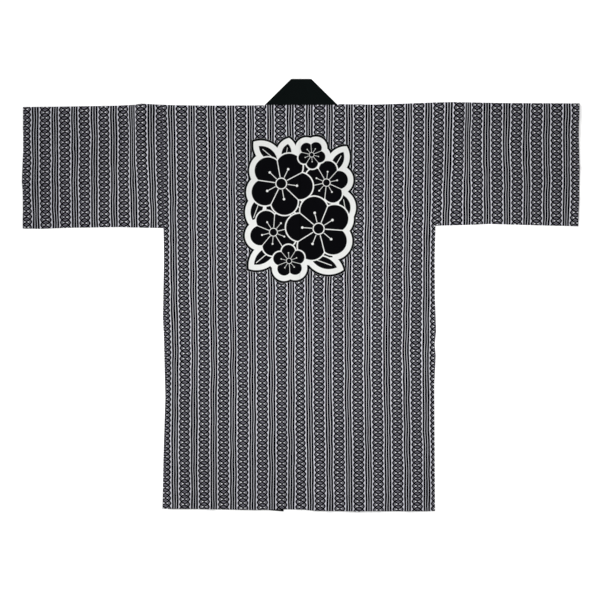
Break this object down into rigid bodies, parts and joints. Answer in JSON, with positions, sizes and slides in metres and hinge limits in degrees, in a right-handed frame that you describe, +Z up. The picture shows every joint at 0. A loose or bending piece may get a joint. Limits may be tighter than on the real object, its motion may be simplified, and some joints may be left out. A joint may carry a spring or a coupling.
{
  "type": "happi coat",
  "caption": "Short straight-cut cotton coat with wide open sleeves and a long plain collar band, laid flat with its back up.",
  "frame": {"origin": "centre of the laid coat's footprint, on the surface it lies on", "axes": "+X from the wearer's left cuff to the right cuff, +Y from the hem to the collar, +Z up out of the back"},
  "size_m": [1.2823, 0.9948, 0.0098],
  "materials": {
    "striped_cotton": "plain weave, matt",
    "collar_cotton": "plain weave, matt"
  },
  "bodies": {
    "root": {"body_left": "striped_cotton", "body_right": "striped_cotton", "sleeve_left": "striped_cotton", "sleeve_right": "striped_cotton", "collar": "collar_cotton"}
  },
  "joints": []
}
